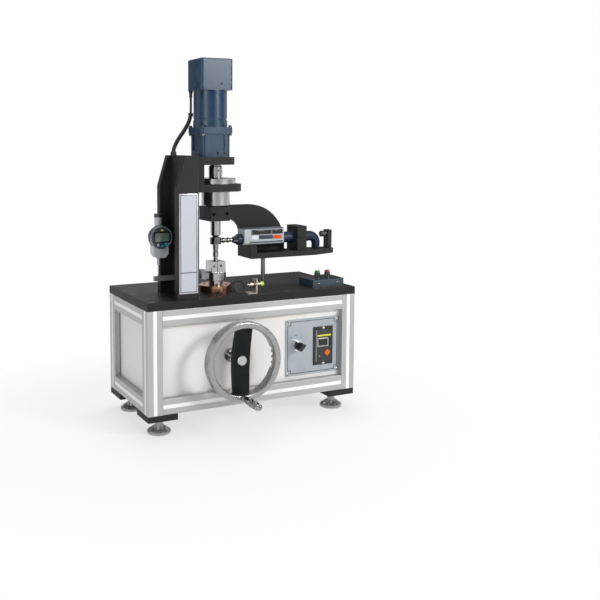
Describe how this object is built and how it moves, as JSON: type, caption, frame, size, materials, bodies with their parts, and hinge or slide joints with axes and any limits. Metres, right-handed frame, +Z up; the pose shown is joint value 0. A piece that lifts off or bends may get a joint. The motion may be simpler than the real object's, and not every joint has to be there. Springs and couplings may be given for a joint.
{
  "type": "cap torque tester",
  "caption": "Bench tester whose motor spindle swings a held torque wrench over a lifting chuck, on a profile-frame stand with a handwheel, dial gauge and push buttons.",
  "frame": {"origin": "on the floor, under the centre of the whole outline, crank handle included", "axes": "+Z up, +X to the operator's right along the table, -Y towards the operator and the handwheel"},
  "size_m": [0.6, 0.462, 0.9426],
  "materials": {
    "black_paint": "black paint, slightly satin",
    "blued_steel": "blackened steel with a dull sheen",
    "aluminium": "anodised and milled aluminium",
    "satin_steel": "turned steel, satin",
    "chromed": "bright chrome",
    "bronze": "turned bronze",
    "white_panel": "white sheet",
    "white_strip": "white plastic strip",
    "black_plastic": "black moulded plastic",
    "grey_plastic": "light grey moulded plastic",
    "navy_grip": "navy rubber grip",
    "green_cap": "green push cap",
    "red_cap": "red push cap",
    "orange_cap": "orange key",
    "blue_cap": "blue key",
    "blue_paint": "steel blue paint, glossy",
    "slate_paint": "slate blue enamel over a black lid",
    "grey_plate": "silver grey plate with a fine speckle",
    "cast_metal": "dark grey die-cast metal",
    "black_rubber": "black cable jacket and pads"
  },
  "bodies": {
    "stand": {"levelling_feet": "cast_metal", "corner_plates": "black_paint", "frame_posts": "aluminium", "frame_rails": "aluminium", "slot_covers": "white_strip", "front_panel": "white_panel", "closing_panels": "white_panel", "table_plate": "black_paint", "frame_screws": "blued_steel", "column_plates": "black_paint", "column_web": "black_paint", "drive_bracket": "black_paint", "gearhead": "blue_paint", "motor_body": "blue_paint", "motor_cover": "blue_paint", "motor_cable": "black_rubber", "bearing_housing": "satin_steel", "guide_flange": "bronze", "lift_housing": "aluminium", "shaft_bushing": "satin_steel", "indicator_case": "grey_plastic", "indicator_bracket": "black_paint", "button_box": "slate_paint", "control_plate": "grey_plate", "selector_bezel": "chromed", "speed_controller": "black_plastic", "sensor_bracket": "black_paint", "sensor": "satin_steel", "sensor_cable": "black_rubber"},
    "spindle": {"spindle_shaft": "satin_steel", "coupling": "satin_steel", "clamp_block": "black_paint", "swing_arm": "black_paint", "tray": "black_paint", "saddle_lower": "black_paint", "saddle_upper": "black_paint", "end_stop": "black_paint", "pressure_screw": "satin_steel", "arm_rod": "satin_steel", "wrench_head": "blued_steel", "wrench_tube": "navy_grip", "wrench_case": "grey_plastic", "adapter": "satin_steel"},
    "chuck": {"chuck_body": "satin_steel", "lift_shaft": "satin_steel", "measuring_bar": "satin_steel"},
    "gear": {"lift_gear": "bronze"},
    "handwheel": {"wheel_ring": "aluminium", "wheel_spoke": "black_plastic", "wheel_shaft": "satin_steel"},
    "crank": {"crank_handle": "chromed"},
    "start": {"start_button": "green_cap"},
    "stop": {"stop_button": "red_cap"},
    "selector": {"selector_knob": "black_plastic"},
    "speed_set": {"speed_key": "orange_cap"},
    "plunger": {"indicator_plunger": "satin_steel"},
    "dial_key_1": {"indicator_key_1": "grey_plastic"},
    "dial_key_2": {"indicator_key_2": "blue_cap"},
    "dial_key_3": {"indicator_key_3": "blue_cap"},
    "wrench_key": {"wrench_button": "orange_cap"}
  },
  "joints": [
    {"name": "spindle_hinge", "type": "hinge", "parent": "stand", "child": "spindle", "pos_m": [-0.069, 0.037, 0.59], "axis": [0, 0, 1], "range_deg": [-100, 100]},
    {"name": "wheel_hinge", "type": "hinge", "parent": "stand", "child": "handwheel", "pos_m": [-0.069, -0.141, 0.187], "axis": [0, 1, 0], "range_deg": [-850, 1075]},
    {"name": "crank_hinge", "type": "hinge", "parent": "handwheel", "child": "crank", "pos_m": [-0.07434, -0.141, 0.09716], "axis": [0, 1, 0], "continuous": true},
    {"name": "lift_slide", "type": "slide", "parent": "stand", "child": "chuck", "axis": [0, 0, 1], "range_m": [-0.0095, 0.012]},
    {"name": "gear_hinge", "type": "hinge", "parent": "stand", "child": "gear", "pos_m": [-0.069, 0.037, 0.215], "axis": [0, 0, 1], "range_deg": [-855, 1080]},
    {"name": "plunger_slide", "type": "slide", "parent": "stand", "child": "plunger", "axis": [0, 0, 1], "range_m": [-0.0095, 0.012]},
    {"name": "selector_hinge", "type": "hinge", "parent": "stand", "child": "selector", "pos_m": [0.125, -0.0535, 0.192], "axis": [0, 1, 0], "range_deg": [0, 90]},
    {"name": "start_press", "type": "slide", "parent": "stand", "child": "start", "axis": [0, 0, -1], "range_m": [0, 0.003], "stiffness_N_per_m": 300},
    {"name": "stop_press", "type": "slide", "parent": "stand", "child": "stop", "axis": [0, 0, -1], "range_m": [0, 0.003], "stiffness_N_per_m": 300},
    {"name": "speed_press", "type": "slide", "parent": "stand", "child": "speed_set", "axis": [0, 1, 0], "range_m": [0, 0.0008], "stiffness_N_per_m": 300},
    {"name": "wrench_press", "type": "slide", "parent": "spindle", "child": "wrench_key", "axis": [0, 1, 0], "range_m": [0, 0.0008], "stiffness_N_per_m": 300},
    {"name": "dial_press_1", "type": "slide", "parent": "stand", "child": "dial_key_1", "axis": [0, 1, 0], "range_m": [0, 0.0008], "stiffness_N_per_m": 300},
    {"name": "dial_press_2", "type": "slide", "parent": "stand", "child": "dial_key_2", "axis": [0, 1, 0], "range_m": [0, 0.0008], "stiffness_N_per_m": 300},
    {"name": "dial_press_3", "type": "slide", "parent": "stand", "child": "dial_key_3", "axis": [0, 1, 0], "range_m": [0, 0.0008], "stiffness_N_per_m": 300}
  ],
  "couplings": [
    {"joint": "lift_slide", "follows": "wheel_hinge", "m_per_rad": 0.00063662},
    {"joint": "plunger_slide", "follows": "wheel_hinge", "m_per_rad": 0.00063662},
    {"joint": "gear_hinge", "follows": "wheel_hinge", "ratio": 1}
  ]
}
